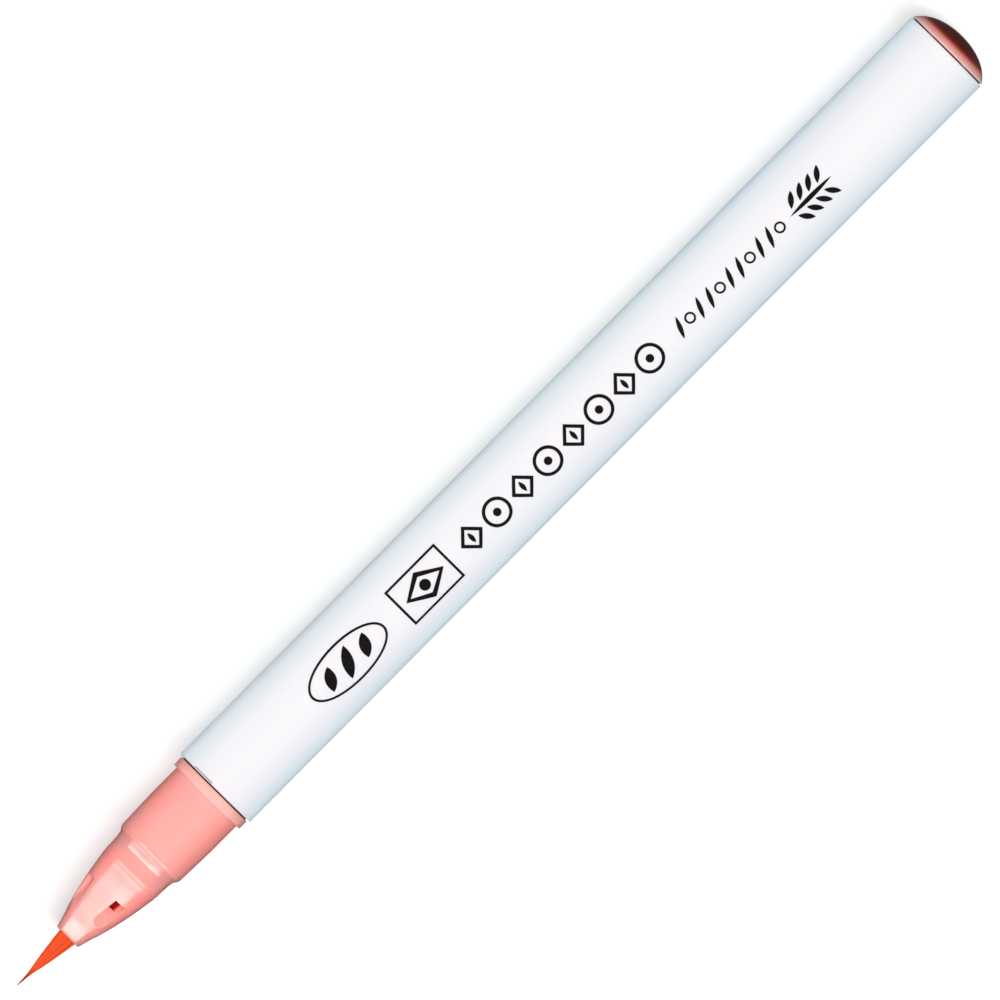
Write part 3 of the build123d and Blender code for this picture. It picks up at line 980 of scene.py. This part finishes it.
def make_bristles(name, start, end, stops, hairs):
    """The part of every hair between two distances out, over a solid core."""
    bm = bmesh.new()
    which = bm.verts.layers.int.new("hair_index")
    side = bm.verts.layers.float.new("hair_side")
    tone = bm.verts.layers.float.new("hair_tone")
    reach = bm.verts.layers.float.new("hair_reach")
    for index, hair in enumerate(hairs):
        ring = bmesh.ops.create_circle(bm, cap_ends=True, segments=HAIR_SIDES, radius=1.0)["verts"]
        for vert in ring:
            vert[which] = index
            vert[side] = math.atan2(vert.co.y, vert.co.x)
            vert[tone] = hair["tone"]

    def comb(verts, share):
        """Lays the vertices of each hair's free end where the hair is at a share of its run."""
        for vert in verts:
            hair = hairs[vert[which]]
            out = start + (min(end, hair["reach"]) - start) * share
            across, up, radius = hair_place(hair, out)
            vert[reach] = out
            vert.co = (
                MOUTH - out,
                across + radius * math.cos(vert[side]),
                AXIS_Z + up + radius * math.sin(vert[side]),
            )

    comb(bm.verts, 0.0)
    front = bm.faces[:]
    for step in range(1, stops + 1):
        grown = bmesh.ops.extrude_face_region(bm, geom=front, use_keep_orig=step == 1)["geom"]
        front = [g for g in grown if isinstance(g, bmesh.types.BMFace)]
        comb([g for g in grown if isinstance(g, bmesh.types.BMVert)], step / stops)
    bmesh.ops.recalc_face_normals(bm, faces=bm.faces)
    core = [(MOUTH - start, 0.0)]
    last = min(end, CORE_LENGTH)
    for out in steps_between(start, last, 10):
        core.append((MOUTH - out, max(tuft_r_at(out) * (1 - CORE_DEPTH) - 0.01, 0.01)))
    core.append((MOUTH - last, 0.0))
    for vert in {v for face in turn(bm, core, closed=False, steps=24) for v in face.verts}:
        vert[tone] = CORE_TONE
        vert[reach] = MOUTH - vert.co.x
        vert.co.y += TUFT_LEAN * max(vert[reach], 0.0)
    return finish_piece(name, bm, NYLON, sharp_degrees=60.0)


hairs = plan_hairs()
AXIS_M = AXIS_Z * MM


def spot(out):
    """The point on the pen's axis at a distance out of the mouth, in metres."""
    return ((MOUTH - out) * MM, 0.0, AXIS_M)


bristle_heel = make_bristles("bristle_heel", TUFT_BEHIND, SEAM_BEHIND_BELLY, 6, hairs)
bristle_belly = make_bristles("bristle_belly", SEAM_BEHIND_BELLY, SEAM_BEHIND_POINT, 8, hairs)
bristle_point = make_bristles("bristle_point", SEAM_BEHIND_POINT, TUFT_LENGTH, 14, hairs)
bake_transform(bristle_heel)
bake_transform(bristle_belly)
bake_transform(bristle_point)
for piece, node in ((bristle_heel, "tuft_heel"), (bristle_belly, "tuft_belly"), (bristle_point, "tuft_point")):
    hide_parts(node)


# ======== CAD nodes that stay ========
def coat_node(node, material):
    """Gives a CAD node its finish."""
    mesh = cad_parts[node].data
    mesh.materials.clear()
    mesh.materials.append(material)


SLEEVE = sleeve_plastic()
coat_node("tuft_root", soaked_root())
coat_node("root_retainer", SLEEVE)
coat_node("wick_sleeve", SLEEVE)
coat_node("wick", fibre("soaked_wick_fibre", (0.30, 0.02, 0.012), (0.62, 0.09, 0.05), 9000.0))
coat_node("reservoir_wad", fibre("soaked_wad_fibre", (0.62, 0.10, 0.05), (0.86, 0.30, 0.20), 4000.0))
coat_node("reservoir_film", wrap_film())


# ======== studio ========
FLOOR_HALF_SIDE = 2.0


def look(direction, up):
    """A rotation whose -Z points along direction and whose Y is as near up as it can be."""
    back = -Vector(direction).normalized()
    right = Vector(up).cross(back).normalized()
    return Matrix((right, back.cross(right), back)).transposed()


def panel(name, towards, distance, width, height, watts, tint=(1.0, 1.0, 1.0), centre=(0, 0, 0)):
    """A soft panel light that stands off in a direction from a spot and faces it."""
    data = bpy.data.lights.new(name, "AREA")
    data.shape = "RECTANGLE"
    data.size, data.size_y = width, height
    data.energy = watts
    data.color = tint
    light = bpy.data.objects.new(name, data)
    bpy.context.scene.collection.objects.link(light)
    away = Vector(towards).normalized()
    light.matrix_world = Matrix.Translation(Vector(centre) + away * distance) @ look(-away, (1, 0, 0)).to_4x4()
    light.visible_camera = False
    return light


def make_floor():
    """Plain floor under the pen, wide enough for every view."""
    bm = bmesh.new()
    bmesh.ops.create_grid(bm, x_segments=8, y_segments=8, size=FLOOR_HALF_SIDE)
    return finish_piece("studio_floor", bm, floor_paper(), scale=1.0)


floor = make_floor()
floor.visible_diffuse = False
floor.visible_glossy = False


def only_on(light, *objects):
    """The light falls on these objects alone, as a flagged studio light does."""
    lit = bpy.data.collections.new(light.name + "_lit")
    for thing in objects:
        lit.objects.link(thing)
    light.light_linking.receiver_collection = lit


def not_on(light, *objects):
    """The light is flagged off these objects."""
    spared = bpy.data.collections.new(light.name + "_spared")
    for thing in objects:
        spared.objects.link(thing)
    light.light_linking.receiver_collection = spared
    for entry in spared.collection_objects:
        entry.light_linking.link_state = "EXCLUDE"


def shaded_by(light, *objects):
    """Only these objects throw a shadow in this light."""
    shading = bpy.data.collections.new(light.name + "_shading")
    for thing in objects:
        shading.objects.link(thing)
    light.light_linking.blocker_collection = shading


def mirrored(slope_degrees, around_degrees):
    """Where a spot that slopes towards the point, this far round from the top, mirrors the sky above the pen."""
    slope, around = math.radians(slope_degrees), math.radians(around_degrees)
    facing = Vector((-math.sin(slope), math.cos(slope) * math.sin(around), math.cos(slope) * math.cos(around)))
    return 2 * facing.z * facing - Vector((0, 0, 1))


BRISTLES = (bristle_heel, bristle_belly, bristle_point)

# Floor: a small high light for the contact shadow and two wide ones that lean, for the soft shade beside the pen.
only_on(panel("floor_top", (0, 0, 1), 3.0, 0.06, 0.06, 53.0, tint=(1.0, 0.985, 0.975)), floor)
for name, watts, casts in (("floor_side", 15.0, (barrel, plug, nose)), ("floor_side_far", 2.0, (barrel, plug))):
    side = panel(name, (0, -0.38, 1), 1.5, 1.10, 0.60, watts)
    only_on(side, floor)
    shaded_by(side, *casts)

# Top light over the pen, with a cooler one for the nose and bristles alone.
OVERHEAD = (-0.05, 0, 1)
pen_top = panel("pen_top", OVERHEAD, 1.4, 0.45, 0.70, 17.1, tint=(1.0, 0.722, 0.628))
pen_top.visible_glossy = False
not_on(pen_top, floor)
nose_top = panel("nose_top", OVERHEAD, 1.4, 0.45, 0.70, 14.6, tint=(0.69, 0.955, 1.0))
nose_top.visible_glossy = False
only_on(nose_top, nose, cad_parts["tuft_root"], *BRISTLES)

# Side fills, the floor's bounce on the underside, and the glow that light gets inside the pink nose.
for side in (-1, 1):
    only_on(panel(f"barrel_fill_{side + 1}", (0, side * 0.866, 0.5), 1.0, 0.4, 0.6, 6.6, tint=(0.56, 0.86, 1.0)),
            barrel, plug)
    bounce = panel(f"floor_bounce_{side + 1}", (0, side * 0.8, -0.6), 1.0, 0.4, 0.3, 1.8, tint=(1.0, 0.97, 0.97))
    bounce.visible_glossy = False
    only_on(bounce, barrel, plug, nose, *BRISTLES)
    shaded_by(bounce, barrel, plug, nose)
    glow = panel(f"nose_glow_{side + 1}", (0, side * 0.94, 0.34), 1.0, 0.4, 0.6, 1.9, tint=(1.0, 0.03, 0.02))
    glow.visible_glossy = False
    only_on(glow, nose)

# Strip cards that the polished land, cone and flare mirror: (slope, depth, radiance) of each row, bent round the pen.
CARD_WIDTH, CARD_DISTANCE = 0.47, 0.9
CARD_ROWS = ((15.6, 0.085, 9.5), (10.3, 0.085, 9.5), (34.0, 0.16, 3.5))
CARDS_AROUND = (-27.6, -13.8, 0.0, 13.8, 27.6)
NOSE_SPOT = spot(-4.0)
for row, (slope, depth, radiance) in enumerate(CARD_ROWS):
    for place, around in enumerate(CARDS_AROUND):
        watts = radiance * math.pi * CARD_WIDTH * depth
        card = panel(f"card_{row}_{place}", mirrored(slope, around), CARD_DISTANCE, CARD_WIDTH, depth, watts,
                     centre=NOSE_SPOT)
        card.visible_diffuse = False
        only_on(card, nose, *BRISTLES)

world = bpy.data.worlds.new("studio_air")
world.use_nodes = True
world.node_tree.nodes["Background"].inputs["Color"].default_value = (0.86, 0.93, 1.0, 1.0)
world.node_tree.nodes["Background"].inputs["Strength"].default_value = 0.09
bpy.context.scene.world = world
bpy.context.scene.view_settings.view_transform = "Standard"


# ======== camera ========
# It looks straight down, from so far that the pen shows almost without perspective.
TURN_IN_VIEW = math.radians(45.2)
LENS = 1400.0
SENSOR = 36.0
VIEW_WIDTH = 0.1026
SHIFT_RIGHT, SHIFT_UP = 0.0010, 0.00115
right = Vector((math.cos(TURN_IN_VIEW), -math.sin(TURN_IN_VIEW), 0))
up = Vector((math.sin(TURN_IN_VIEW), math.cos(TURN_IN_VIEW), 0))
camera_data = bpy.data.cameras.new("camera")
camera_data.lens = LENS
camera_data.sensor_width = SENSOR
camera_data.clip_start, camera_data.clip_end = 0.01, 20.0
camera = bpy.data.objects.new("camera", camera_data)
bpy.context.scene.collection.objects.link(camera)
height = VIEW_WIDTH * LENS / SENSOR
aim = right * SHIFT_RIGHT + up * SHIFT_UP + Vector((0, 0, AXIS_M + height))
camera.matrix_world = Matrix.Translation(aim) @ Matrix((right, up, Vector((0, 0, 1)))).transposed().to_4x4()
bpy.context.scene.camera = camera
